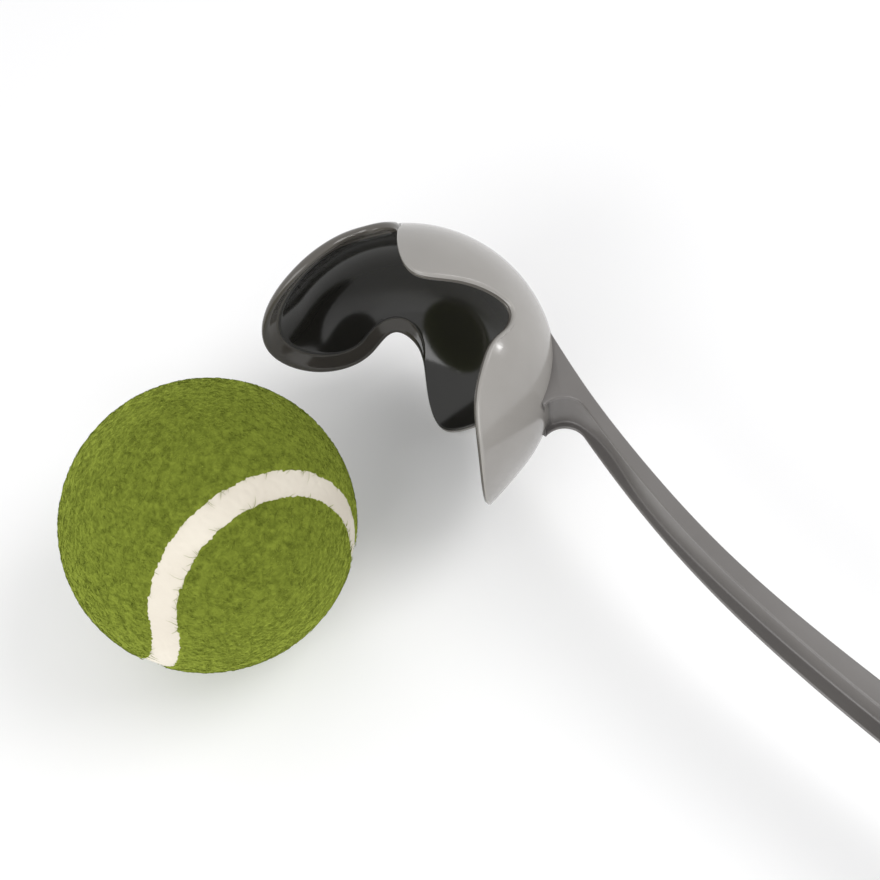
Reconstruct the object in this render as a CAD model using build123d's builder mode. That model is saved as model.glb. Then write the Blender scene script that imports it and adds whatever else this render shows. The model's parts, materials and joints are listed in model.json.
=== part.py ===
from build123d import *
import math
import os

# A hand-held launcher for a dog's tennis ball, lying on its side beside its ball.
# The launcher's own frame has its origin at the cup's centre: x runs out towards the
# far lobe of the cup, y out of the cup's mouth, and z square to the plane of the arm.

os.makedirs("parts", exist_ok=True)

# The ball: a hollow rubber core in two halves, two felt panels and the seam between them
ball_diameter = 63.5
felt_thickness = 1.7
core_wall = 3.6
seam_width = 5.2
seam_recess = 0.35
seam_crest_angle = 42.0
ball_roll_angle = 2.7
ball_pitch_angle = -25.5
ball_turn_angle = 121.0

# The way of the ball from the floor into the cup, an arc about an upright line
path_radius = 133.0
path_angle = 24.2
ball_gap = 0.3

# The cup: a dark inner shell in a pale outer one, both a little steeper at the mouth
liner_wall = 1.0
cover_wall = 1.0
mouth_height = 22.0
inner_barrel_radius = 1500.0
liner_barrel_radius = 300.0
cover_barrel_radius = 150.0
lip_bulge = 0.8
lip_rebate = 0.6

# The arm: a shallow channel that is open to the front
arm_length = 300.0
arm_rise = 36.5
arm_width = 13.8
arm_end_width = 18.0
arm_depth = 2.7
arm_end_depth = 9.0
arm_web = 1.2
arm_flange = 1.1
channel_end_gap = 12.0
root_arch_radius = 5.2
root_arch_angle = 114.3
tenon_length = 9.0
tenon_width = 9.6
tenon_angle = 31.0

# The grip: a stiff core in a soft sleeve, with a butt that has a hole to hang it by
grip_length = 112.0
neck_length = 26.0
core_width = 17.0
core_depth = 18.0
sleeve_wall = 3.6
groove_count = 4
groove_depth = 2.0
butt_length = 20.0
butt_swell = 2.2
hang_hole_diameter = 8.0
hang_recess_diameter = 15.0
hang_wall = 12.0
overrun = 5.0

# Side view of the rim: two lobes, two notches and a short tab, in shares of the cup's radius
rim_shares = [
    (-1.13, 0.655),
    (-0.93, 0.362),
    (-0.79, 0.184),
    (-0.707, -0.008),
    (-0.66, -0.192),
    (-0.645, -0.36),
    (-0.566, -0.471),
    (-0.437, -0.44),
    (-0.26, -0.309),
    (-0.06, -0.186),
    (0.126, -0.268),
    (0.294, -0.433),
    (0.442, -0.548),
    (0.604, -0.515),
    (0.676, -0.304),
    (0.735, -0.10),
    (0.825, 0.10),
    (0.965, 0.335),
    (1.12, 0.60),
]
tab_share = (-0.06, -0.186)

# Back edge of the far lobe's thick lip, in shares of the cup's radius
lip_back_shares = [
    (0.27, -0.39),
    (0.39, -0.565),
    (0.47, -0.622),
    (0.56, -0.632),
    (0.665, -0.56),
    (0.745, -0.385),
    (0.815, -0.133),
    (0.892, 0.038),
    (0.994, 0.232),
    (1.12, 0.46),
]

# The arm's root, in shares of the cup's radius, and its front edge, in shares of its
# length and rise
arch_centre_share = (-1.132, -0.209)
channel_turns = (-105, -60, -15)
heel_shares = [(-1.667, -0.245), (-1.127, -0.474), (-0.72, -0.68)]
tenon_centre_share = (-0.86, -0.51)
arm_front_shares = [
    (0.067, 0.231),
    (0.134, 0.413),
    (0.26, 0.628),
    (0.40, 0.77),
    (0.533, 0.878),
    (0.767, 0.985),
    (1.00, 1.00),
]
arm_back_shares = [(1.00, 1.00), (0.767, 0.985), (0.533, 0.878), (0.26, 0.628), (0.134, 0.413)]

# The butt's swelling: places along it, and how much of the swell each has
butt_shares = [(0.0, 0.0), (0.35, 1.0), (0.72, 0.8), (1.0, -0.9)]
butt_widest_share = 0.35

ball_radius = ball_diameter / 2
core_radius = ball_radius - felt_thickness
inner_radius = ball_radius + ball_gap
liner_radius = inner_radius + liner_wall
cup_radius = liner_radius + cover_wall
reach = cup_radius + lip_bulge + overrun
arch_centre = tuple(share * cup_radius for share in arch_centre_share)


def round_arch(radius, turn):
    """A point at a radius and a turn about the centre of the arm's root arch."""
    angle = math.radians(turn)
    return (arch_centre[0] + radius * math.cos(angle), arch_centre[1] + radius * math.sin(angle))


arm_start = round_arch(root_arch_radius, -root_arch_angle)
grip_start = arm_start[0] - arm_length
grip_end = grip_start - grip_length
grip_y = arm_start[1] + arm_rise - arm_end_depth / 2
grip_half_width = core_width / 2 + sleeve_wall
grip_half_depth = core_depth / 2 + sleeve_wall


def tab_point():
    """Lowest point of the cup, at the tip of its lower tab."""
    x, y = (share * cup_radius for share in tab_share)
    return Vector(x, y, -math.sqrt(cup_radius**2 - x**2 - y**2))


def ball_point():
    """Centre of the ball where it lies on the floor."""
    angle = math.radians(path_angle)
    return Vector(path_radius * (1 - math.cos(angle)), path_radius * math.sin(angle), 0)


def floor_normal():
    """Up, in the launcher's frame, when the tab, the ball and the butt touch the floor."""
    to_ball = ball_point() - tab_point()
    to_butt = Vector(grip_end - butt_widest_share * butt_length, grip_y, 0) - tab_point()
    det = to_ball.X * to_butt.Y - to_ball.Y * to_butt.X
    up = Vector(0, 0, 1)
    for _ in range(8):
        ball_rest = ball_radius - up.Z * to_ball.Z
        butt_rest = grip_half_width + butt_swell - up.Z * to_butt.Z
        up_x = (ball_rest * to_butt.Y - to_ball.Y * butt_rest) / det
        up_y = (to_ball.X * butt_rest - ball_rest * to_butt.X) / det
        up = Vector(up_x, up_y, math.sqrt(1 - up_x**2 - up_y**2))
    return up


# The launcher's planes, tilted as it lies on the floor
up = floor_normal()
floor_x = (Vector(1, 0, 0) - up * up.X).normalized()
floor_y = up.cross(floor_x)
cup_x = (butt_length - grip_end - ball_point().X - ball_radius) / 2
cup_y = (cup_radius - ball_point().Y - ball_radius) / 2
cup_height = -up.dot(tab_point())
lie = Plane(
    origin=(cup_x, cup_y, cup_height),
    x_dir=(floor_x.X, floor_y.X, up.X),
    z_dir=(floor_x.Z, floor_y.Z, up.Z),
)
mouth = Plane(origin=lie.origin, x_dir=lie.x_dir, z_dir=lie.y_dir * -1)
mouth_axis = Axis(lie.origin, lie.y_dir)
roll_axis = Axis(lie.from_local_coords(Vector(path_radius, 0, 0)), lie.z_dir)
ball_pose = Rotation(ball_roll_angle, ball_pitch_angle, ball_turn_angle, Extrinsic.XYZ)
ball_plane = Plane(lie.location * Pos(ball_point()) * ball_pose)


def scaled(shares, across, along, start=(0, 0)):
    """Points of an outline, from its shares of two sizes."""
    return [(start[0] + across * x, start[1] + along * y) for x, y in shares]


def slab(points, edge, half_height):
    """A slab on both sides of the arm's plane, between a curved edge and a straight one."""
    with BuildPart() as solid:
        with BuildSketch(lie):
            with BuildLine():
                Spline(*points)
                Polyline(points[-1], (points[-1][0], edge), (points[0][0], edge), points[0])
            make_face()
        extrude(amount=half_height, both=True)
    return solid.part


def bowl(radius, barrel):
    """A solid bowl: half a ball, with a barrel of a larger radius above its widest ring."""
    with BuildPart() as solid:
        with BuildSketch(lie):
            with BuildLine():
                CenterArc((0, 0), radius, -90, 90)
                turn = math.degrees(math.asin(mouth_height / barrel))
                side = CenterArc((radius - barrel, 0), barrel, 0, turn)
                Polyline(side @ 1, (0, mouth_height), (0, -radius))
            make_face()
        revolve(axis=mouth_axis)
    return solid.part


# Shapes that the pieces of the cup share
inner_bowl = bowl(inner_radius, inner_barrel_radius)
liner_bowl = bowl(liner_radius, liner_barrel_radius)
cover_bowl = bowl(cup_radius, cover_barrel_radius)
lip_bowl = bowl(cup_radius + lip_bulge, cover_barrel_radius)
rim_slab = slab(scaled(rim_shares, cup_radius, cup_radius), -reach, reach)
lip_slab = slab(scaled(lip_back_shares, cup_radius, cup_radius), mouth_height, reach)

with BuildPart() as ball_way:
    with BuildSketch(mouth):
        Circle(inner_radius)
    revolve(axis=roll_axis, revolution_arc=-path_angle)

with BuildPart() as tenon:
    with BuildSketch(lie):
        with Locations(tuple(share * cup_radius for share in tenon_centre_share)):
            Rectangle(tenon_length, tenon_length, rotation=tenon_angle)
    extrude(amount=tenon_width / 2, both=True)

with BuildPart() as lip:
    add(lip_bowl)
    add(lip_slab, mode=Mode.INTERSECT)

with BuildPart() as rebate:
    add(bowl(inner_radius + lip_rebate, inner_barrel_radius))
    add(lip_slab, mode=Mode.INTERSECT)

with BuildPart() as cup_liner:
    add(liner_bowl)
    add(lip.part)
    add(inner_bowl, mode=Mode.SUBTRACT)
    add(rebate.part, mode=Mode.SUBTRACT)
    add(rim_slab, mode=Mode.INTERSECT)
    add(ball_way.part, mode=Mode.SUBTRACT)
cup_liner.part.label = "cup_liner"
export_step(cup_liner.part, "parts/cup_liner.step")

with BuildPart() as cup_cover:
    add(cover_bowl)
    add(liner_bowl, mode=Mode.SUBTRACT)
    add(rim_slab, mode=Mode.INTERSECT)
    add(lip_slab, mode=Mode.SUBTRACT)
    add(ball_way.part, mode=Mode.SUBTRACT)
    add(tenon.part, mode=Mode.SUBTRACT)
cup_cover.part.label = "cup_cover"
export_step(cup_cover.part, "parts/cup_cover.step")


def section(x, y):
    """A plane square to the grip, with its x along the launcher's y."""
    return Plane(origin=lie.from_local_coords(Vector(x, y, 0)), x_dir=lie.y_dir, z_dir=lie.x_dir)


# The arm's outline in the side view: root arch, front edge, end, back edge and heel
front_points = scaled(arm_front_shares, -arm_length, arm_rise, arm_start)
back_line = scaled(arm_back_shares, -arm_length, arm_rise, arm_start)
back_points = [
    (x, y - arm_depth - (arm_end_depth - arm_depth) * share[0])
    for share, (x, y) in zip(arm_back_shares, back_line)
]
back_points += scaled(heel_shares, cup_radius, cup_radius)
arch_start = round_arch(root_arch_radius, 0)
arch_low = round_arch(root_arch_radius, -90)
inside_cup = (back_points[-1][0] + overrun, arch_centre[1])

# The channel's floor: a web's height above the back, then round the arch up to the cup
floor_radius = root_arch_radius + arm_depth - arm_web
floor_points = [(x, y + arm_web) for x, y in back_points[:-2]]
floor_points += [round_arch(floor_radius, turn) for turn in channel_turns]
channel_start = arch_centre[0] + floor_radius
channel_end = grip_start + neck_length + channel_end_gap


def taper(start, end, narrower):
    """The arm's outline from the front, cut to a stretch of it and narrowed on each side."""
    slope = (arm_end_width - arm_width) / 2 / -grip_start
    start_half = arm_width / 2 - slope * start - narrower
    end_half = arm_width / 2 - slope * end - narrower
    with BuildPart() as solid:
        with BuildSketch(mouth):
            with BuildLine():
                Polyline((start, start_half), (end, end_half), (end, -end_half))
                Polyline((end, -end_half), (start, -start_half), (start, start_half))
            make_face()
            if narrower:
                fillet(vertices(), narrower)
        extrude(amount=reach * 2, both=True)
    return solid.part


with BuildPart() as blade:
    with BuildSketch(lie):
        with BuildLine():
            arch = ThreePointArc(arch_start, arch_low, arm_start)
            front = Spline(arm_start, *front_points, tangents=(arch % 1, (-1, 0)))
            back = Spline(*back_points)
            Line(front @ 1, back @ 0)
            Polyline(back @ 1, inside_cup, arch_start)
        make_face()
    extrude(amount=arm_end_width, both=True)
    add(taper(0, grip_start, 0), mode=Mode.INTERSECT)
    add(cover_bowl, mode=Mode.SUBTRACT)

with BuildPart() as channel:
    add(slab(floor_points, reach * 2, arm_end_width))
    add(taper(channel_start, channel_end, arm_flange), mode=Mode.INTERSECT)

with BuildPart() as grip_core:
    with BuildSketch(section(grip_start, grip_y)):
        Ellipse(core_depth / 2, core_width / 2)
    extrude(amount=-grip_length)

with BuildPart() as neck:
    with BuildSketch(section(grip_start + neck_length, grip_y)):
        Ellipse(arm_end_depth / 2, arm_end_width / 2)
    with BuildSketch(section(grip_start, grip_y)):
        Ellipse(grip_half_depth, grip_half_width)
    loft()

with BuildPart() as butt:
    for place, swell in butt_shares:
        with BuildSketch(section(grip_end - place * butt_length, grip_y)):
            Ellipse(grip_half_depth + swell * butt_swell, grip_half_width + swell * butt_swell)
    loft()
    hole_x = grip_end - butt_length / 2
    for side in (1, -1):
        with BuildSketch(lie.offset(side * hang_wall / 2)):
            with Locations((hole_x, grip_y)):
                Circle(hang_recess_diameter / 2)
        extrude(amount=side * reach, mode=Mode.SUBTRACT)
    with BuildSketch(lie):
        with Locations((hole_x, grip_y)):
            Circle(hang_hole_diameter / 2)
    extrude(amount=reach, both=True, mode=Mode.SUBTRACT)

with BuildPart() as tenon_end:
    add(tenon.part)
    add(cover_bowl, mode=Mode.INTERSECT)
    add(liner_bowl, mode=Mode.SUBTRACT)

with BuildPart() as throwing_arm:
    add(blade.part)
    add(channel.part, mode=Mode.SUBTRACT)
    add(neck.part)
    add(grip_core.part)
    add(butt.part)
    add(tenon_end.part)
throwing_arm.part.label = "throwing_arm"
export_step(throwing_arm.part, "parts/throwing_arm.step")

with BuildPart() as grip_sleeve:
    sections = 4 * groove_count
    for i in range(sections + 1):
        share = i / sections
        cut = groove_depth / 4 * (1 - math.cos(2 * math.pi * groove_count * share))
        with BuildSketch(section(grip_start - share * grip_length, grip_y - cut)):
            Ellipse(grip_half_depth - cut, grip_half_width)
    loft()
    add(grip_core.part, mode=Mode.SUBTRACT)
grip_sleeve.part.label = "grip_sleeve"
export_step(grip_sleeve.part, "parts/grip_sleeve.step")


def ball_shell(outer, inner, low=-90, high=90):
    """A hollow ball between two radii, or the part of it between two latitudes."""
    with BuildPart(ball_plane) as shell:
        Sphere(outer, low, high, align=None)
        Sphere(inner, low, high, align=None, mode=Mode.SUBTRACT)
    return shell.part


# The rubber core's halves, glued at its middle
for name, low, high in (("ball_core_lower", -90, 0), ("ball_core_upper", 0, 90)):
    half = ball_shell(core_radius, core_radius - core_wall, low, high)
    half.label = name
    export_step(half, f"parts/{name}.step")

# The seam's line: four arcs that cross the ball's middle and crest above and below it
crest = math.radians(seam_crest_angle)
crest_out = ball_radius * math.cos(crest) * math.sqrt(0.5)
crest_up = ball_radius * math.sin(crest)
corners = [(ball_radius, 0, 0), (0, ball_radius, 0), (-ball_radius, 0, 0), (0, -ball_radius, 0)]
crests = [
    (crest_out, crest_out, crest_up),
    (-crest_out, crest_out, -crest_up),
    (-crest_out, -crest_out, crest_up),
    (crest_out, -crest_out, -crest_up),
]

with BuildPart() as seam_tube:
    with BuildLine(ball_plane) as seam_line:
        for i, top in enumerate(crests):
            ThreePointArc(corners[i], top, corners[(i + 1) % 4])
    seam_path = seam_line.wire()
    with BuildSketch(Plane(origin=seam_path @ 0, z_dir=seam_path % 0)):
        Circle(seam_width / 2)
    sweep(path=seam_path)

with BuildPart() as ball_seam:
    add(ball_shell(ball_radius - seam_recess, core_radius))
    add(seam_tube.part, mode=Mode.INTERSECT)
ball_seam.part.label = "ball_seam"
export_step(ball_seam.part, "parts/ball_seam.step")

with BuildPart() as felt:
    add(ball_shell(ball_radius, core_radius))
    add(seam_tube.part, mode=Mode.SUBTRACT)

felt_panels = felt.part.solids().sort_by(Axis(ball_plane.origin, ball_plane.z_dir))
for name, panel in zip(("ball_felt_lower", "ball_felt_upper"), felt_panels):
    panel.label = name
    export_step(panel, f"parts/{name}.step")

hang_hole = lie.from_local_coords(Vector(hole_x, grip_y, 0))
print("cup centre", lie.origin, "mouth faces", lie.y_dir)
print("roll axis through", roll_axis.position, "along", roll_axis.direction)
print("hang hole at", hang_hole, "along", lie.z_dir)
print("ball centre", ball_plane.origin)
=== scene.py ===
import json
import math

import bmesh
import bpy
import numpy as np
from mathutils import Euler, Matrix, Quaternion, Vector


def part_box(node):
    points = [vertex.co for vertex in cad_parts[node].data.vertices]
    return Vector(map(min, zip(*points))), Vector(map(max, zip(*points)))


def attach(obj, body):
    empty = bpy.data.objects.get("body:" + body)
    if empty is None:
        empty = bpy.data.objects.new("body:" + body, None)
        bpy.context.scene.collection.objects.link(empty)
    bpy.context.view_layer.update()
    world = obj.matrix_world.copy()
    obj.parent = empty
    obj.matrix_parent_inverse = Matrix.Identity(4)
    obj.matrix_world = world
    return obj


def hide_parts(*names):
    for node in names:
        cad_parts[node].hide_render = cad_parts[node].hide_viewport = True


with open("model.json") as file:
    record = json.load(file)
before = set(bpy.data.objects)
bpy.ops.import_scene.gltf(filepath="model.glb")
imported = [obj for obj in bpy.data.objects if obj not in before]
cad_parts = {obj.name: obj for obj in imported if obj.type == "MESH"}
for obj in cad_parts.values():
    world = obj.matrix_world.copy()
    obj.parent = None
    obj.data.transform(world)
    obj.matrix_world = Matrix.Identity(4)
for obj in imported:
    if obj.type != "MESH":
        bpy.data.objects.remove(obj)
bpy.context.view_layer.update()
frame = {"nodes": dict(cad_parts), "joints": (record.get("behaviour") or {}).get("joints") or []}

# Shapes are worked out in millimetres, in the launcher's own frame: its origin is the
# cup's centre, x runs out to the far lobe, y out of the cup's mouth, z square to the arm.
# The launcher's place comes from the joint, at whose end the ball sits in the cup.
MM = 0.001

roll = frame["joints"][0]
roll_point = Vector(roll["pos_m"])
z_dir = Vector(roll["axis"]).normalized()
core_boxes = [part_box("ball_core_lower"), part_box("ball_core_upper")]
core_low = Vector([min(box[0][i] for box in core_boxes) for i in range(3)])
core_high = Vector([max(box[1][i] for box in core_boxes) for i in range(3)])
ball_centre = (core_low + core_high) / 2
roll_to_cup = Quaternion(z_dir, math.radians(roll["range_deg"][1])) @ (ball_centre - roll_point)
cup_centre = roll_point + roll_to_cup
x_dir = -roll_to_cup.normalized()
y_dir = z_dir.cross(x_dir)
launcher_turn = Matrix((x_dir, y_dir, z_dir)).transposed()
launcher = Matrix.Translation(cup_centre) @ launcher_turn.to_4x4() @ Matrix.Scale(MM, 4)

# Sizes of the ball and the cup, as in the frame
ball_radius = 31.75
inner_radius = 32.05
liner_radius = 33.05
cup_radius = 34.05
inner_barrel = 1500.0
liner_barrel = 300.0
cover_barrel = 150.0
rim_shares = [
    (-1.13, 0.655), (-0.93, 0.362), (-0.79, 0.184), (-0.707, -0.008), (-0.66, -0.192),
    (-0.645, -0.36), (-0.566, -0.471), (-0.437, -0.44), (-0.26, -0.309), (-0.06, -0.186),
    (0.126, -0.268), (0.294, -0.433), (0.442, -0.548), (0.604, -0.515), (0.676, -0.304),
    (0.735, -0.10), (0.825, 0.10), (0.965, 0.335), (1.12, 0.60),
]

# Sizes of the arm and the grip, as in the frame
arm_length = 300.0
arm_rise = 36.5
arm_half_width = 6.9
arm_end_half_width = 9.0
arm_depth = 2.7
arm_end_depth = 9.0
arm_web = 1.2
arm_flange = 1.1
neck_length = 26.0
root_arch_radius = 5.2
root_arch_angle = 114.3
floor_radius = root_arch_radius + arm_depth - arm_web
arch_centre = np.array([-1.132, -0.209]) * cup_radius
grip_length = 112.0
core_half = (9.0, 8.5)
grip_half = (12.6, 12.1)
groove_count = 4
groove_depth = 2.0
butt_length = 20.0
butt_swell = 2.2
hang_radius = 4.0
recess_radius = 7.5
hang_half_wall = 6.0
arm_front_shares = [
    (0.067, 0.231), (0.134, 0.413), (0.26, 0.628), (0.40, 0.77), (0.533, 0.878), (0.767, 0.985),
    (1.00, 1.00),
]
arm_back_shares = [(1.00, 1.00), (0.767, 0.985), (0.533, 0.878), (0.26, 0.628), (0.134, 0.413)]
heel_shares = [(-1.667, -0.245), (-1.127, -0.474), (-0.72, -0.68)]
butt_shares = [(0.0, 0.0), (0.35, 1.0), (0.72, 0.8), (1.0, -0.9)]

# The ball as it lies on the floor, its seam and its felt
ball_angles = [math.radians(angle) for angle in (2.7, -25.5, 121.0)]
ball_turn = launcher_turn @ Euler(ball_angles, "XYZ").to_matrix()
ball_place = Matrix.Translation(ball_centre) @ ball_turn.to_4x4() @ Matrix.Scale(MM, 4)
seam_crest = math.radians(42.0)
seam_radius = 31.4
felt_inside = 30.08
fibre_count = 6000
rng = np.random.default_rng(20)


def smooth_curve(points, count, start=None, end=None):
    """Evenly spaced points on the smooth curve through the given ones, with any end directions."""
    p = np.array(points, float)
    t = np.concatenate(([0.0], np.cumsum(np.linalg.norm(np.diff(p, axis=0), axis=1))))
    h = np.diff(t)
    slope = np.diff(p, axis=0) / h[:, None]
    system = np.eye(len(p))
    pull = np.zeros_like(p)
    for i in range(1, len(p) - 1):
        system[i, i - 1:i + 2] = h[i - 1], 2 * (h[i - 1] + h[i]), h[i]
        pull[i] = 6 * (slope[i] - slope[i - 1])
    if start is not None:
        system[0, :2] = 2 * h[0], h[0]
        pull[0] = 6 * (slope[0] - start)
    if end is not None:
        system[-1, -2:] = h[-1], 2 * h[-1]
        pull[-1] = 6 * (end - slope[-1])
    bend = np.linalg.solve(system, pull)
    at = np.linspace(0, t[-1], count)
    i = np.clip(np.searchsorted(t, at, side="right") - 1, 0, len(h) - 1)
    left = (t[i + 1] - at)[:, None]
    right = (at - t[i])[:, None]
    span = h[i][:, None]
    curved = (bend[i] * left**3 + bend[i + 1] * right**3) / (6 * span)
    straight = (p[i] / span - bend[i] * span / 6) * left
    return curved + straight + (p[i + 1] / span - bend[i + 1] * span / 6) * right


def smoothstep(value, low, high):
    t = np.clip((value - low) / (high - low), 0, 1)
    return t * t * (3 - 2 * t)


def rounding(share):
    """Height of a quarter circle, from 0 at its start to 1."""
    return np.sqrt(1 - (1 - np.clip(share, 0, 1)) ** 2)


def add_mesh(name, points, faces, matrix, turn_out=True):
    mesh = bpy.data.meshes.new(name)
    mesh.from_pydata(points.tolist(), [], faces)
    mesh.transform(matrix)
    mesh.validate()
    if turn_out:
        skin = bmesh.new()
        skin.from_mesh(mesh)
        bmesh.ops.recalc_face_normals(skin, faces=skin.faces)
        skin.to_mesh(mesh)
        skin.free()
    piece = bpy.data.objects.new(name, mesh)
    bpy.context.collection.objects.link(piece)
    mesh.shade_smooth()
    return piece


def ring_faces(rows, columns):
    """Quads between rings of points, each ring closed on itself."""
    faces = []
    for r in range(rows - 1):
        for c in range(columns):
            d = (c + 1) % columns
            low, high = r * columns, (r + 1) * columns
            faces.append((low + c, low + d, high + d, high + c))
    return faces


def loft(name, rings, matrix):
    """A closed skin through rings of points, with a fan at each end."""
    rows, columns = len(rings), len(rings[0])
    points = np.concatenate([*rings, rings[0].mean(axis=0)[None], rings[-1].mean(axis=0)[None]])
    faces = ring_faces(rows, columns)
    first, last = rows * columns, rows * columns + 1
    for c in range(columns):
        d = (c + 1) % columns
        faces.append((first, d, c))
        faces.append((last, (rows - 1) * columns + c, (rows - 1) * columns + d))
    return add_mesh(name, points, faces, matrix)


def loop_loft(name, rings, matrix):
    """A closed skin through rings of points whose last ring joins its first."""
    count = len(rings) * len(rings[0])
    faces = ring_faces(len(rings) + 1, len(rings[0]))
    faces = [tuple(corner % count for corner in face) for face in faces]
    return add_mesh(name, np.concatenate(rings), faces, matrix)


def cast(points, ways, path):
    """Distance from each point, along its way, to where it first meets a path."""
    run = (path[1:] - path[:-1])[None]
    gap = path[None, :-1] - points[:, None]
    way = ways[:, None]
    det = way[..., 0] * run[..., 1] - way[..., 1] * run[..., 0]
    far = (gap[..., 0] * run[..., 1] - gap[..., 1] * run[..., 0]) / det
    share = (gap[..., 0] * way[..., 1] - gap[..., 1] * way[..., 0]) / det
    return np.where((share >= 0) & (share <= 1) & (far > 0), far, np.inf).min(axis=1)


def ripples(points, length, count=48):
    """A smooth random height at each point, about as rough as the given length."""
    ways = rng.normal(size=(count, 3))
    ways *= 2 * np.pi / length / np.linalg.norm(ways, axis=1)[:, None]
    ways *= rng.uniform(0.7, 1.4, size=(count, 1))
    return np.cos(points @ ways.T + rng.uniform(0, 2 * np.pi, count)).sum(axis=1) / math.sqrt(count)


# The cup's rim in the side view
rim_line = smooth_curve(rim_shares, 20000) * cup_radius
rim_columns = 900

# The bowl's rings are evened out a little, and take up the edge's form only near the edge
even_share = 0.02
edge_power = 6


def barrel_ring(radius, barrel, height):
    """The bowl's radius at a height above the sphere's middle, where the wall curves less."""
    return radius - barrel + np.sqrt(barrel**2 - height**2)


def wall_point(radius, barrel, angle, turn):
    """A point of the bowl, by its angle up the wall and its turn about the mouth's axis."""
    above = angle - np.pi / 2
    height = np.where(above > 0, cup_radius * above, -radius * np.cos(angle))
    rise = np.clip(height, 0, None)
    ring = np.where(above > 0, barrel_ring(radius, barrel, rise), radius * np.sin(angle))
    point = np.broadcast_arrays(ring * np.cos(turn), height, ring * np.sin(turn))
    return np.stack(point, axis=-1)


def rim_loop():
    """Evenly spaced points round the rim, from the far lobe's tip by the side of positive z."""
    x, y = rim_line[:, 0], rim_line[:, 1]
    above = barrel_ring(cup_radius, cover_barrel, y)
    ring = np.where(y > 0, above, np.sqrt(cup_radius**2 - y**2))
    on_wall = np.flatnonzero(np.abs(x) < ring)
    far, near = on_wall[-1], on_wall[0]
    side = np.sqrt(np.clip(ring**2 - x**2, 0, None))
    half = np.stack([x, y, side], axis=1)[near:far + 1][::-1]
    tips = np.array([(x[far + 1], y[far + 1], 0.0), (x[near - 1], y[near - 1], 0.0)])
    loop = np.concatenate([tips[:1], half, tips[1:], half[::-1] * (1, 1, -1), tips[:1]])
    along = np.concatenate(([0.0], np.cumsum(np.linalg.norm(np.diff(loop, axis=0), axis=1))))
    spots = np.linspace(0, along[-1], rim_columns, endpoint=False)
    return np.stack([np.interp(spots, along, loop[:, i]) for i in range(3)], axis=1)


rim_points = rim_loop()
rim_turn = np.arctan2(rim_points[:, 2], rim_points[:, 0])
rim_run = np.roll(rim_points, -2, axis=0) - np.roll(rim_points, 2, axis=0)
rim_run /= np.linalg.norm(rim_run, axis=1)[:, None]
lean = np.arccos(np.clip(-rim_points[:, 1] / cup_radius, 0, 1))
rim_out = np.stack(
    [np.sin(lean) * np.cos(rim_turn), -np.cos(lean), np.sin(lean) * np.sin(rim_turn)], axis=-1
)
rim_down = np.cross(rim_out, rim_run)


def below_rim(distance):
    """Angles and turns of the wall at a distance from the rim, square to the rim's run."""
    distance = np.broadcast_to(distance, rim_columns)
    p = rim_points + rim_down * distance[:, None]
    ring = np.hypot(p[:, 0], p[:, 2])
    angle = np.where(p[:, 1] > 0, np.pi / 2 + p[:, 1] / cup_radius, np.arctan2(ring, -p[:, 1]))
    turn = np.unwrap(np.arctan2(p[:, 2], p[:, 0]))
    # Where the line doubles back at a tight corner, it's cut across
    step = np.roll(p, -1, axis=0) - np.roll(p, 1, axis=0)
    doubled = np.flatnonzero((step * rim_run).sum(axis=1) < 0.1)
    good = np.ones(rim_columns, bool)
    pad = 2 + int(distance.max())
    for column in doubled:
        good[max(column - pad, 1):column + pad + 1] = False
    column = np.arange(rim_columns)
    good[0] = good[-1] = True
    return np.interp(column, column[good], angle[good]), np.interp(column, column[good], turn[good])


def bowl_rings(radius, barrel, edge, count):
    """Rings of the bowl from near its pole up to an edge, round any overhang of the edge."""
    angle, turn = edge
    ahead = np.maximum.accumulate(turn)
    behind = np.minimum.accumulate(turn[::-1])[::-1]
    calm = np.where((np.cos(turn) < 0) == (np.sin(turn) > 0), ahead, behind)
    even = np.linspace(0, 2 * np.pi, rim_columns, endpoint=False)
    calm += (even - calm) * even_share
    shares = np.arange(1, count + 1) / count
    return [
        wall_point(radius, barrel, angle * k, calm + (turn - calm) * k**edge_power) for k in shares
    ]


# The far lobe's lip, which fades out towards the notches
lip_width = 4.6
lip_bulge = 0.8
lip_rebate = 0.6
lip_share = smoothstep(rim_points[:, 0] / cup_radius, 0.30, 0.62)
lip = lip_width * lip_share
bowl_count = 50


def make_cover():
    """The pale outer shell, which ends at the lip and is rounded at its edge."""
    outer_round, inner_round = 0.5, 0.15
    edge_depth = 0.8
    edge_lift = 0.3
    root = below_rim(lip + edge_depth)

    def edge_ring(distance, lift):
        edge = below_rim(lip + distance)
        inner = wall_point(liner_radius, liner_barrel, *edge)
        outer = wall_point(cup_radius, cover_barrel, *edge)
        return inner + (outer - inner) * lift

    rings = bowl_rings(cup_radius, cover_barrel, root, bowl_count)
    for distance in edge_depth * (1 - np.cos(np.linspace(np.pi / 2, 0, 9)[1:])):
        lift = edge_lift + (1 - edge_lift) * rounding(distance / outer_round)
        rings.append(edge_ring(distance, lift))
    for distance in (0.0, 0.05, 0.12, 0.3, edge_depth):
        rings.append(edge_ring(distance, edge_lift * (1 - rounding(distance / inner_round))))
    rings += bowl_rings(liner_radius, liner_barrel, root, bowl_count)[::-1][1:]
    return loft("cup_cover_shell", rings, launcher)


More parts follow.
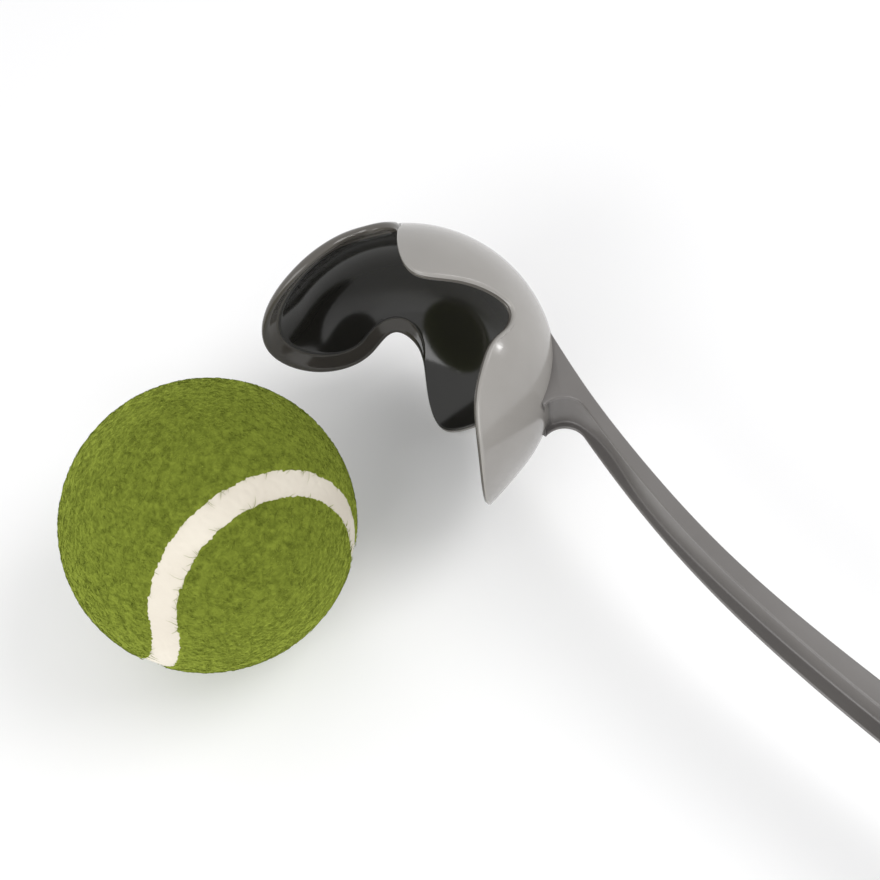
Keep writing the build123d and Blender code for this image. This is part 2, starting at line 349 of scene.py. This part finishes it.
def make_liner():
    """The dark inner shell, whose far lobe has a thick lip with a rebate on the inside."""
    wall = liner_radius - inner_radius
    plain_depth = 0.9
    step_room = 1.0
    air = 0.03
    depth = np.maximum(lip, plain_depth) + step_room
    root = below_rim(depth)
    spots = 1 - np.cos(np.linspace(0, np.pi / 2, 22))
    bulge = (cup_radius + lip_bulge - liner_radius) * lip_share
    middle = 0.55 * wall + 0.5 * bulge
    outer_round = 0.35 + 1.5 * lip_share
    inner_round = 0.45 + 1.1 * lip_share

    def outer_lift(distance):
        full = wall + bulge * rounding(lip - distance)
        return middle + (full - middle) * rounding(distance / outer_round)

    def inner_lift(distance):
        rebate = lip_rebate * lip_share * (1 - smoothstep(distance, lip - 0.2, lip + 0.25))
        return middle - (middle - rebate) * rounding(distance / inner_round)

    def edge_ring(distance, lift):
        edge = below_rim(distance)
        inner = wall_point(inner_radius, inner_barrel, *edge)
        outer = wall_point(liner_radius, liner_barrel, *edge)
        return inner + (outer - inner) * (lift / wall)[:, None]

    rings = bowl_rings(liner_radius - air, liner_barrel, root, bowl_count)[:-1]
    rings += [edge_ring(depth * share, outer_lift(depth * share)) for share in spots[::-1]]
    rings += [edge_ring(depth * share, inner_lift(depth * share)) for share in spots[1:]]
    rings += bowl_rings(inner_radius, inner_barrel, root, bowl_count)[::-1][1:]
    return loft("cup_liner_shell", rings, launcher)


# The arm: stations along its front edge, and a section of the channel at each
def round_arch(radius, turn):
    angle = np.radians(turn)
    return arch_centre + radius * np.stack([np.cos(angle), np.sin(angle)], axis=-1)


arm_start = round_arch(root_arch_radius, -root_arch_angle)
grip_start = arm_start[0] - arm_length
grip_end = grip_start - grip_length
grip_y = arm_start[1] + arm_rise - arm_end_depth / 2
neck_start = grip_start + neck_length
sleeve_gap = 0.5
butt_overlap = 2.0


def front_stations():
    """Points of the arm's front edge, from the arch to the grip, and the way into the plastic."""
    arch_turns = np.linspace(-3, -root_arch_angle, 44)
    arch_ways = round_arch(1.0, arch_turns) - arch_centre
    start_way = np.array([arch_ways[-1][1], -arch_ways[-1][0]])
    edge_points = [arm_start]
    edge_points += [arm_start + (-arm_length * x, arm_rise * y) for x, y in arm_front_shares]
    edge = smooth_curve(edge_points, 8000, start=start_way, end=np.array([-1.0, 0.0]))
    steps = np.linalg.norm(np.diff(edge, axis=0), axis=1)
    along = np.concatenate(([0.0], np.cumsum(steps)))
    spots = np.concatenate([np.arange(0.5, 45, 0.7), np.arange(45, 255, 2.5)])
    front = np.stack([np.interp(spots, along, edge[:, i]) for i in range(2)], axis=1)
    run = np.gradient(edge, axis=0)
    run /= np.linalg.norm(run, axis=1)[:, None]
    runs = np.stack([np.interp(spots, along, run[:, i]) for i in range(2)], axis=1)
    ways = np.stack([-runs[:, 1], runs[:, 0]], axis=1)

    # Towards the grip the stations turn square to it
    end_x = np.arange(front[-1][0] - 1.0, grip_start + sleeve_gap, -0.5)
    end_y = np.interp(-end_x, -edge[:, 0], edge[:, 1])
    upright = smoothstep(-end_x, -end_x[0], -end_x[0] + 25)[:, None]
    end_ways = ways[-1] * (1 - upright) + np.array([0.0, -1.0]) * upright
    end_ways /= np.linalg.norm(end_ways, axis=1)[:, None]
    end = np.stack([end_x, end_y], axis=1)
    front = np.concatenate([round_arch(root_arch_radius, arch_turns), front, end])
    return front, np.concatenate([arch_ways, ways, end_ways])


def back_lines():
    """The line of the arm's back, and that of the channel's floor, a web's height above it."""
    depths = [arm_depth + (arm_end_depth - arm_depth) * x for x, y in arm_back_shares]
    points = [
        arm_start + (-arm_length * x, arm_rise * y - depth)
        for (x, y), depth in zip(arm_back_shares, depths)
    ]
    points += [np.array(share) * cup_radius for share in heel_shares]
    points[0] = points[0] - (1.0, 0.0)
    back = smooth_curve(points, 4000)
    into_cup = back[-1] + 300 * (back[-1] - back[-2])
    floor_points = [point + (0.0, arm_web) for point in points[:-2]]
    floor_points += [round_arch(floor_radius, turn) for turn in (-105, -60, -15)]
    return np.concatenate([back, [into_cup]]), smooth_curve(floor_points, 4000)


def arm_stations():
    """The front stations, with the depth to the back and to the channel's floor at each."""
    front, ways = front_stations()
    back, floor_line = back_lines()
    root_overlap = 1.15
    lean = (front * ways).sum(axis=1)
    inside = lean**2 - (front**2).sum(axis=1) + (cup_radius - root_overlap) ** 2
    meets_cup = (inside > 0) & (lean < 0)
    to_cup = np.where(meets_cup, -lean - np.sqrt(np.clip(inside, 0, None)), np.inf)
    depth = np.minimum(cast(front, ways, back), to_cup)

    # The channel runs out at the root and before the neck
    deepest, thinnest, least = 9.0, 0.3, 0.02
    root_stations, end_ramp, end_gap = 12, 3.5, 12.0
    channel = np.minimum(cast(front, ways, floor_line), deepest)
    root_share = smoothstep(np.arange(root_stations), -6, 11)
    channel[:root_stations] = (floor_radius - root_arch_radius) * root_share
    channel = np.minimum(channel, depth - thinnest)
    channel_end = -(neck_start + end_gap)
    channel = channel * (1 - smoothstep(-front[:, 0], channel_end - end_ramp, channel_end)) + least
    return front, ways, depth, channel


def arm_section(depth, channel, half_width):
    """Half of the section at every station: how deep from the front, and how far across."""
    back_round = np.minimum(0.6, depth / 3)
    edge_round = np.minimum(0.45, depth / 3)
    top_round = np.minimum(0.35, channel / 2)
    foot_round = np.minimum(0.5, channel / 2)
    wall = half_width - arm_flange
    half = []
    quarter = np.linspace(0, np.pi / 2, 6)
    for share in (0.0, 0.35, 0.7):
        half.append((depth, (half_width - back_round) * share))
    for a in quarter:
        reach = half_width - back_round + back_round * np.sin(a)
        half.append((depth - back_round + back_round * np.cos(a), reach))
    for a in quarter:
        reach = half_width - edge_round * (1 - np.cos(a))
        half.append((edge_round * (1 - np.sin(a)), reach))
    for a in quarter:
        half.append((top_round * (1 - np.cos(a)), wall + top_round * (1 - np.sin(a))))
    for a in quarter:
        foot = channel - foot_round * (1 - np.sin(a))
        half.append((foot, wall - foot_round * (1 - np.cos(a))))
    for share in (0.7, 0.35, 0.0):
        half.append((channel, (wall - foot_round) * share))
    return np.stack([np.stack(pair, axis=1) for pair in half], axis=1)


def ellipse_radius(half, turn):
    return 1 / np.sqrt((np.cos(turn) / half[0]) ** 2 + (np.sin(turn) / half[1]) ** 2)


def make_arm():
    """The blade with its channel, the neck, and the core that goes into the sleeve."""
    front, ways, depth, channel = arm_stations()
    slope = (arm_end_half_width - arm_half_width) / -grip_start
    half_width = arm_half_width - slope * front[:, 0]
    half = arm_section(depth, channel, half_width)
    mirrored = half[:, -2:0:-1] * (1, -1)
    section = np.concatenate([half, mirrored], axis=1)
    flat = front[:, None] + ways[:, None] * section[..., :1]
    points = np.concatenate([flat, section[..., 1:]], axis=-1)
    reach = np.linalg.norm(points, axis=-1, keepdims=True)
    root_radius = cup_radius - 0.4
    points = np.where(reach < root_radius, points * root_radius / reach, points)

    # The neck swells from the arm's section to the grip's
    x, y, z = points[..., 0], points[..., 1] - grip_y, points[..., 2]
    swell = np.clip((neck_start - x) / neck_length, 0, 1)
    turn = np.arctan2(z, y)
    out = np.hypot(y, z)
    arm_half = (arm_end_depth / 2, arm_end_half_width)
    neck_half = [start + (end - start) * swell for start, end in zip(arm_half, grip_half)]
    gain = ellipse_radius(neck_half, turn) - out
    blend = 0.8 * smoothstep(neck_start - x, 0, 5)
    grown = out + (gain + np.sqrt(gain**2 + blend**2)) / 2
    out = np.where(x < neck_start, grown, out)
    points = np.stack([x, grip_y + out * np.cos(turn), out * np.sin(turn)], axis=-1)
    rings = list(points)
    last, turn = points[-1], turn[-1]
    out = np.hypot(last[:, 1] - grip_y, last[:, 2])
    core = ellipse_radius(core_half, turn)

    def end_ring(place, radius):
        spot = np.full_like(turn, place)
        return np.stack([spot, grip_y + radius * np.cos(turn), radius * np.sin(turn)], axis=-1)

    edge_start = last[0, 0]
    edge_round = edge_start - grip_start
    for a in np.linspace(0, np.pi / 2, 6)[1:]:
        drop = edge_round * (1 - np.cos(a))
        rings.append(end_ring(edge_start - edge_round * np.sin(a), out - drop))
    rings.append(end_ring(grip_start, core))
    rings.append(end_ring(grip_end - butt_overlap, core))
    return loft("arm_blade", rings, launcher)


grip_turns = np.linspace(0, 2 * np.pi, 120, endpoint=False)


def oval(place, half_depth, half_width, sink=0.0):
    """An oval ring across the grip."""
    spot = np.full_like(grip_turns, place)
    height = grip_y - sink + half_depth * np.cos(grip_turns)
    return np.stack([spot, height, half_width * np.sin(grip_turns)], axis=-1)


def apply_modifier(piece, kind, **settings):
    modifier = piece.modifiers.new(kind.lower(), kind)
    for key, value in settings.items():
        setattr(modifier, key, value)
    bpy.context.view_layer.objects.active = piece
    bpy.ops.object.modifier_apply(modifier=modifier.name)


def disc(radius, height):
    """A ring about the hang hole's line."""
    turn = np.linspace(0, 2 * np.pi, 72, endpoint=False)
    x = grip_end - butt_length / 2 + radius * np.cos(turn)
    y = grip_y + radius * np.sin(turn)
    return np.stack([x, y, np.full_like(turn, height)], axis=-1)


def make_butt():
    """The swollen end of the grip, with the hang hole and its wide mouths cut out."""
    swell_line = smooth_curve(butt_shares, 400)
    rings = []
    start_round, end_round = 0.5, 1.8
    past = 20
    places = np.concatenate([
        start_round * (1 - np.cos(np.linspace(0, np.pi / 2, 6))),
        np.linspace(1.0, butt_length - end_round, 36),
        butt_length - end_round * (1 - np.sin(np.linspace(0, np.pi / 2, 12))[1:]),
    ])
    for place in places:
        swell = np.interp(place / butt_length, swell_line[:, 0], swell_line[:, 1]) * butt_swell
        swell -= start_round * (1 - rounding(place / start_round))
        swell -= end_round * (1 - rounding((butt_length - place) / end_round))
        rings.append(oval(grip_end - place, grip_half[0] + swell, grip_half[1] + swell))
    butt = loft("arm_butt", rings, launcher)
    for radius, low, high in (
        (hang_radius, -past, past),
        (recess_radius, hang_half_wall, past),
        (recess_radius, -past, -hang_half_wall),
    ):
        cutter = loft("cutter", [disc(radius, low), disc(radius, high)], launcher)
        apply_modifier(butt, "BOOLEAN", operation="DIFFERENCE", solver="EXACT", object=cutter)
        bpy.data.objects.remove(cutter)
    apply_modifier(butt, "REMESH", mode="VOXEL", voxel_size=0.25 * MM, use_smooth_shade=True)
    apply_modifier(butt, "SMOOTH", factor=0.5, iterations=6)
    return butt


def make_sleeve():
    """The soft sleeve, with finger grooves on the side of the cup's mouth."""
    end_round = 0.7
    quarter = np.linspace(0, np.pi / 2, 8)
    places = np.concatenate([
        end_round * (1 - np.cos(quarter)),
        np.linspace(1.2, grip_length - 1.2, 220),
        grip_length - end_round * (1 - np.sin(quarter)),
    ])
    rings = [oval(grip_start, *core_half)]
    for place in places:
        cut = groove_depth / 4 * (1 - np.cos(2 * np.pi * groove_count * place / grip_length))
        shrink = end_round * (1 - rounding(min(place, grip_length - place) / end_round))
        ends = grip_half[0] - cut - shrink, grip_half[1] - shrink
        rings.append(oval(grip_start - place, *ends, sink=cut))
    rings.append(oval(grip_end, *core_half))
    return loop_loft("grip_sleeve_skin", rings, launcher)


# The ball: the seam's line as four arcs on the ball, each through a crest
def seam_samples(count=260):
    """Points of the seam on a ball of radius 1, and the way along it at each."""
    across, up = math.cos(seam_crest) * math.sqrt(0.5), math.sin(seam_crest)
    corners = np.array([(1, 0, 0), (0, 1, 0), (-1, 0, 0), (0, -1, 0)], float)
    crests = across * np.array([(1, 1, 0), (-1, 1, 0), (-1, -1, 0), (1, -1, 0)], float)
    crests[:, 2] = (up, -up, up, -up)
    spots, runs = [], []
    for i in range(4):
        start, top, end = corners[i], crests[i], corners[(i + 1) % 4]
        pole = np.cross(top - start, end - start)
        pole /= np.linalg.norm(pole)
        middle = pole * (pole @ start)
        side = start - middle
        other = np.cross(pole, side)
        sweep = np.arctan2((end - middle) @ other, (end - middle) @ side) % (2 * np.pi)
        a = np.linspace(0, sweep, count, endpoint=False)[:, None]
        spots.append(middle + np.cos(a) * side + np.sin(a) * other)
        run = -np.sin(a) * side + np.cos(a) * other
        runs.append(run / np.linalg.norm(run, axis=1)[:, None])
    return np.concatenate(spots), np.concatenate(runs)


seam_spots, seam_runs = seam_samples()
seam_sides = np.cross(seam_spots, seam_runs)


def seam_distance(ways):
    """How far points of the ball are from the seam's line, and on which side of it."""
    far, side = np.empty(len(ways)), np.empty(len(ways))
    for start in range(0, len(ways), 8192):
        part = slice(start, start + 8192)
        dots = ways[part] @ seam_spots.T
        nearest = dots.argmax(axis=1)
        far[part] = np.arccos(np.clip(dots.max(axis=1), -1, 1)) * ball_radius
        side[part] = (seam_sides[nearest] * ways[part]).sum(axis=1)
    return far, side


def make_seam():
    """The band of the seam, uneven on top, whose sides go under the felt."""
    half_band, flat = 3.5, 3.1
    top_count, base_count = 23, 9
    edge_drop, dent_height = 0.6, 0.035
    top = np.linspace(-half_band, half_band, top_count)
    edge = rounding((half_band - np.abs(top)) / (half_band - flat))
    radius = np.concatenate([
        seam_radius - edge_drop * (1 - edge),
        np.full(base_count, felt_inside + 0.02),
    ])
    angle = np.concatenate([top, np.linspace(half_band, -half_band, base_count)]) / ball_radius
    points = seam_spots[:, None] * np.cos(angle)[:, None]
    points += seam_sides[:, None] * np.sin(angle)[:, None]
    dent = ripples(points.reshape(-1, 3) * ball_radius, 1.6).reshape(points.shape[:2])
    dent = dent * dent_height - dent_height
    dent[:, top_count:] = 0
    return loop_loft("ball_seam_band", list(points * (radius + dent)[..., None]), ball_place)


def make_fibres(count, keep_side):
    """Short hairs that lie on a felt panel, as thin closed spikes."""
    base = rng.normal(size=(count * 3, 3))
    base /= np.linalg.norm(base, axis=1)[:, None]
    far, side = seam_distance(base)
    clear = 2.9
    base = base[(far > clear) & (side * keep_side > 0)][:count]
    n = len(base)
    way = rng.normal(size=(n, 3))
    way -= (way * base).sum(axis=1)[:, None] * base
    way /= np.linalg.norm(way, axis=1)[:, None]
    bend = np.cross(base, way) * rng.normal(size=(n, 1)) * 0.5
    length = rng.uniform(0.9, 2.3, size=(n, 1))
    peak = rng.uniform(0.02, 0.2, size=(n, 1))
    thick = rng.uniform(0.035, 0.07, size=(n, 1))
    rings = []
    for share, width in ((0.0, 1.0), (0.35, 1.0), (0.7, 0.75), (1.0, 0.15)):
        go = way + bend * share
        spot = base + go * length * share / ball_radius
        spot /= np.linalg.norm(spot, axis=1)[:, None]
        side_way = np.cross(spot, go)
        side_way /= np.linalg.norm(side_way, axis=1)[:, None]
        height = ball_radius - 0.12 + (peak + 0.05) * np.sin(np.pi * (0.1 + 0.7 * share))
        for a in (0.5, 2.6, 4.7):
            high = height + thick * width * np.sin(a)
            rings.append(spot * high + side_way * thick * width * np.cos(a))
    points = np.stack(rings, axis=1)
    shape = [(0, 1, 2), (9, 11, 10)]
    for k in range(3):
        for c in range(3):
            a, b = 3 * k + c, 3 * k + (c + 1) % 3
            shape += [(a, a + 3, b + 3), (a, b + 3, b)]
    faces = (np.array(shape)[None] + 12 * np.arange(n)[:, None, None]).reshape(-1, 3)
    return points.reshape(-1, 3), faces


def make_felt(name, keep_side):
    """A felt panel: a closed skin that dips under the seam at its edge, with hairs on it."""
    bpy.ops.mesh.primitive_ico_sphere_add(subdivisions=8, radius=1.0)
    ball = bpy.context.object
    mesh = ball.data
    ways = np.empty(len(mesh.vertices) * 3)
    mesh.vertices.foreach_get("co", ways)
    ways = ways.reshape(-1, 3)
    ways /= np.linalg.norm(ways, axis=1)[:, None]
    faces = np.empty(len(mesh.polygons) * 3, dtype=np.int32)
    mesh.loops.foreach_get("vertex_index", faces)
    faces = faces.reshape(-1, 3)
    bpy.data.objects.remove(ball)
    far, side = seam_distance(ways)
    mine = side * keep_side > 0
    faces = faces[mine[faces].all(axis=1)]
    used, corners = np.unique(faces, return_inverse=True)
    faces = corners.reshape(-1, 3)
    ways, far = ways[used], far[used]
    spots = ways * ball_radius
    ragged = 0.09 * ripples(spots, 1.1) + 0.15 * ripples(spots, 4.0)
    edge = smoothstep(far + np.clip(ragged, -0.4, 0.4), 1.9, 3.3)
    nap = 0.10 * ripples(spots, 1.2) + 0.10 * ripples(spots, 0.7)
    top = ball_radius - 1.1 + (1.0 + np.clip(nap, -0.22, 0.12) - 0.02) * edge
    count = len(ways)
    points = np.concatenate([ways * top[:, None], ways * felt_inside])
    ends = faces[:, [0, 1, 1, 2, 2, 0]].reshape(-1, 2)
    codes = ends[:, 0].astype(np.int64) * count + ends[:, 1]
    rim_ends = ends[~np.isin(ends[:, 1].astype(np.int64) * count + ends[:, 0], codes)]
    a, b = rim_ends[:, 0], rim_ends[:, 1]
    walls = np.concatenate([
        np.stack([b, a, a + count], axis=1),
        np.stack([b, a + count, b + count], axis=1),
    ])
    hair_points, hair_faces = make_fibres(fibre_count, keep_side)
    skin = np.concatenate([faces, faces[:, ::-1] + count, walls, hair_faces + 2 * count])
    points = np.concatenate([points, hair_points])
    return add_mesh(name, points, skin.tolist(), ball_place, turn_out=False)


def finish_piece(piece, body, nodes, material):
    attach(piece, body)
    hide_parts(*nodes)
    piece.data.materials.clear()
    piece.data.materials.append(material)


# Materials
def new_material(name, **settings):
    """A principled material, with values set straight on the shader."""
    material = bpy.data.materials.new(name)
    material.use_nodes = True
    shader = material.node_tree.nodes["Principled BSDF"]
    for key, value in settings.items():
        shader.inputs[key.replace("_", " ")].default_value = value
    return material, material.node_tree, shader


def linear(red, green, blue):
    """A colour from its values on the screen, which run to 255 and are above 10 here."""
    return (*[((v / 255 + 0.055) / 1.055) ** 2.4 for v in (red, green, blue)], 1.0)


def noise_node(tree, scale, detail=3.0, rough=0.5, warp=0.0):
    coords = tree.nodes.new("ShaderNodeTexCoord")
    noise = tree.nodes.new("ShaderNodeTexNoise")
    noise.inputs["Scale"].default_value = scale
    noise.inputs["Detail"].default_value = detail
    noise.inputs["Roughness"].default_value = rough
    noise.inputs["Distortion"].default_value = warp
    tree.links.new(coords.outputs["Object"], noise.inputs["Vector"])
    return noise


def colour_between(tree, factor, low, high, dark, light):
    ramp = tree.nodes.new("ShaderNodeValToRGB")
    ramp.color_ramp.elements[0].position = low
    ramp.color_ramp.elements[0].color = dark
    ramp.color_ramp.elements[1].position = high
    ramp.color_ramp.elements[1].color = light
    tree.links.new(factor, ramp.inputs["Fac"])
    return ramp.outputs["Color"]


def add_bump(tree, shader, height, strength, distance):
    bump = tree.nodes.new("ShaderNodeBump")
    bump.inputs["Strength"].default_value = strength
    bump.inputs["Distance"].default_value = distance
    tree.links.new(height, bump.inputs["Height"])
    tree.links.new(bump.outputs["Normal"], shader.inputs["Normal"])


def math_node(tree, operation, first, second):
    """What an operation makes of a socket and another socket or a number."""
    node = tree.nodes.new("ShaderNodeMath")
    node.operation = operation
    tree.links.new(first, node.inputs[0])
    if isinstance(second, float):
        node.inputs[1].default_value = second
    else:
        tree.links.new(second, node.inputs[1])
    return node.outputs[0]


def length_node(tree, vector):
    node = tree.nodes.new("ShaderNodeVectorMath")
    node.operation = "LENGTH"
    tree.links.new(vector, node.inputs[0])
    return node.outputs["Value"]


def range_node(tree, value, low, high, from_value=0.0, to_value=1.0):
    """A value that goes from one number to another while its input goes from low to high."""
    node = tree.nodes.new("ShaderNodeMapRange")
    node.inputs["From Min"].default_value = low
    node.inputs["From Max"].default_value = high
    node.inputs["To Min"].default_value = from_value
    node.inputs["To Max"].default_value = to_value
    tree.links.new(value, node.inputs["Value"])
    return node.outputs["Result"]


def moulded_plastic(name, dark, light, roughness):
    material, tree, shader = new_material(name, Roughness=roughness)
    cloud = noise_node(tree, 60.0)
    colour = colour_between(tree, cloud.outputs["Fac"], 0.3, 0.7, linear(*dark), linear(*light))
    tree.links.new(colour, shader.inputs["Base Color"])
    grain = noise_node(tree, 900.0, 2.0)
    add_bump(tree, shader, grain.outputs["Fac"], 0.08, 0.0002)
    return material


def liner_plastic_with_painted_lip_light():
    """The liner's dark plastic, with painted light on the lip, which stands out past the cover: the
    lip is painted paler, as the light on its rounded face.
    """
    material, tree, shader = new_material("liner_plastic", Roughness=0.1)
    coords = tree.nodes.new("ShaderNodeTexCoord")
    turned = tree.nodes.new("ShaderNodeMapping")
    turned.vector_type = "TEXTURE"
    turned.inputs["Location"].default_value = cup_centre
    turned.inputs["Rotation"].default_value = launcher_turn.to_euler()
    tree.links.new(coords.outputs["Object"], turned.inputs["Vector"])
    # How far out: from the cup's centre, or from the mouth's axis where the wall runs on
    split = tree.nodes.new("ShaderNodeSeparateXYZ")
    tree.links.new(turned.outputs["Vector"], split.inputs[0])
    joined = tree.nodes.new("ShaderNodeCombineXYZ")
    tree.links.new(split.outputs["X"], joined.inputs["X"])
    tree.links.new(math_node(tree, "MINIMUM", split.outputs["Y"], 0.0), joined.inputs["Y"])
    tree.links.new(split.outputs["Z"], joined.inputs["Z"])
    reach = length_node(tree, joined.outputs[0])
    # Painted light: from just inside the liner's outer face outwards the colour turns paler,
    # standing for the light and highlights on the lip
    share = range_node(tree, reach, 32.3 * MM, 32.45 * MM)
    colour = colour_between(tree, share, 0.0, 1.0, linear(41, 40, 37), linear(84, 80, 75))
    tree.links.new(colour, shader.inputs["Base Color"])
    return material


def felt_cloth_material():
    material, tree, shader = new_material("felt_cloth", Roughness=1.0)
    shader.inputs["Specular IOR Level"].default_value = 0.02
    shader.inputs["Sheen Weight"].default_value = 0.9
    shader.inputs["Sheen Tint"].default_value = linear(190, 205, 90)
    cloud = noise_node(tree, 620.0, 5.0, 0.7, 0.6)
    dark, light = linear(87, 98, 32), linear(122, 134, 50)
    colour = colour_between(tree, cloud.outputs["Fac"], 0.32, 0.68, dark, light)
    tree.links.new(colour, shader.inputs["Base Color"])
    grain = noise_node(tree, 2400.0, 3.0)
    add_bump(tree, shader, grain.outputs["Fac"], 0.5, 0.0004)
    return material


cover_plastic = moulded_plastic("cover_plastic", (146, 143, 139), (152, 149, 145), 0.16)
arm_plastic = moulded_plastic("arm_plastic", (105, 102, 100), (112, 109, 107), 0.36)
sleeve_rubber = moulded_plastic("sleeve_rubber", (38, 38, 38), (46, 46, 46), 0.7)
core_rubber = moulded_plastic("core_rubber", (150, 146, 136), (160, 156, 146), 0.6)
seam_cement = moulded_plastic("seam_cement", (208, 200, 186), (220, 213, 199), 0.75)
liner_plastic = liner_plastic_with_painted_lip_light()
felt_cloth = felt_cloth_material()

for node, material in (
    ("cup_cover", cover_plastic),
    ("cup_liner", liner_plastic),
    ("throwing_arm", arm_plastic),
    ("grip_sleeve", sleeve_rubber),
    ("ball_felt_lower", felt_cloth),
    ("ball_felt_upper", felt_cloth),
    ("ball_seam", seam_cement),
    ("ball_core_lower", core_rubber),
    ("ball_core_upper", core_rubber),
):
    frame["nodes"][node].data.materials.clear()
    frame["nodes"][node].data.materials.append(material)

for piece, body, slot, nodes, material in (
    (make_cover(), "launcher", "pale_plastic", ["cup_cover"], cover_plastic),
    (make_liner(), "launcher", "dark_plastic", ["cup_liner"], liner_plastic),
    (make_arm(), "launcher", "grey_plastic", ["throwing_arm"], arm_plastic),
    (make_butt(), "launcher", "grey_plastic", ["throwing_arm"], arm_plastic),
    (make_sleeve(), "launcher", "soft_rubber", ["grip_sleeve"], sleeve_rubber),
    (make_seam(), "ball", "seam_rubber", ["ball_seam"], seam_cement),
    (make_felt("ball_felt_low_panel", -1), "ball", "ball_felt", ["ball_felt_lower"], felt_cloth),
    (make_felt("ball_felt_high_panel", 1), "ball", "ball_felt", ["ball_felt_upper"], felt_cloth),
):
    finish_piece(piece, body, nodes, material)


# Floor, lights and camera; the camera's place is in the launcher's frame, in millimetres
picture_pixels = 880
focal_pixels = 1216
camera_spot = (-116.44, 101.46, 232.17)
camera_right = (-0.78917, -0.60621, -0.09859)
camera_up = (0.4899, -0.71813, 0.49425)
camera_back = (-0.37042, 0.34175, 0.86371)


def seen_directly(tree):
    """1 for the rays that show a background, straight or in a reflection or through glass."""
    path = tree.nodes.new("ShaderNodeLightPath")
    seen = path.outputs["Is Camera Ray"]
    for kind in ("Is Glossy Ray", "Is Transmission Ray"):
        seen = math_node(tree, "MAXIMUM", seen, path.outputs[kind])
    return seen


def make_floor():
    """A pale floor that turns into a white backdrop far from the object."""
    bpy.ops.mesh.primitive_plane_add(size=8.0)
    floor = bpy.context.object
    floor.name = "floor"
    paper = (0.86, 0.86, 0.865, 1.0)
    material, tree, shader = new_material("floor_paper", Roughness=1.0, Base_Color=paper)
    shader.inputs["Specular IOR Level"].default_value = 0.0
    shader.inputs["Emission Color"].default_value = (1.0, 1.0, 1.0, 1.0)
    seen = seen_directly(tree)
    lift = math_node(tree, "MULTIPLY", seen, 0.1)
    tree.links.new(lift, shader.inputs["Emission Strength"])
    place = tree.nodes.new("ShaderNodeNewGeometry")
    away = length_node(tree, place.outputs["Position"])
    share = math_node(tree, "MULTIPLY", range_node(tree, away, 0.45, 1.1), seen)
    white = tree.nodes.new("ShaderNodeEmission")
    mix = tree.nodes.new("ShaderNodeMixShader")
    tree.links.new(share, mix.inputs["Fac"])
    tree.links.new(shader.outputs["BSDF"], mix.inputs[1])
    tree.links.new(white.outputs["Emission"], mix.inputs[2])
    tree.links.new(mix.outputs["Shader"], tree.nodes["Material Output"].inputs["Surface"])
    floor.data.materials.append(material)


def make_world():
    """White where it is seen, and a little darker as a light."""
    world = bpy.data.worlds.new("studio")
    bpy.context.scene.world = world
    world.use_nodes = True
    tree = world.node_tree
    back = tree.nodes["Background"]
    back.inputs["Color"].default_value = (1.0, 1.0, 1.0, 1.0)
    level = range_node(tree, seen_directly(tree), 0.0, 1.0, 0.66, 1.0)
    tree.links.new(level, back.inputs["Strength"])


def make_camera():
    data = bpy.data.cameras.new("camera")
    data.sensor_width = 36.0
    data.lens = focal_pixels / picture_pixels * data.sensor_width
    data.clip_start = 0.005
    camera = bpy.data.objects.new("camera", data)
    camera_turn = Matrix((camera_right, camera_up, camera_back)).transposed()
    camera.matrix_world = Matrix.LocRotScale(
        launcher @ Vector(camera_spot), launcher_turn @ camera_turn, None
    )
    bpy.context.collection.objects.link(camera)
    bpy.context.scene.camera = camera


def add_lamp(name, spot, aim, size, power):
    data = bpy.data.lights.new(name, "AREA")
    data.shape = "RECTANGLE"
    data.size = size
    data.size_y = size
    data.energy = power
    lamp = bpy.data.objects.new(name, data)
    lamp.location = spot
    lamp.rotation_euler = (Vector(aim) - Vector(spot)).to_track_quat("-Z", "Y").to_euler()
    bpy.context.collection.objects.link(lamp)


make_floor()
make_world()
make_camera()
add_lamp("key", cup_centre + Vector((-0.5, -0.5, 0.75)), cup_centre, 0.6, 4.5)
add_lamp("fill", cup_centre + Vector((-0.1, 1.0, 0.4)), cup_centre, 0.8, 7.0)

# A small lamp for the bright spot on the near lobe
glint_point = Vector((-23.73, -5.42, 23.81))
glint_way = Vector((-0.7019, -0.6685, 0.246))
glint_spot = launcher @ (glint_point + glint_way * 600)
add_lamp("glint", glint_spot, launcher @ glint_point, 0.03, 0.15)
bpy.context.scene.view_settings.view_transform = "Standard"
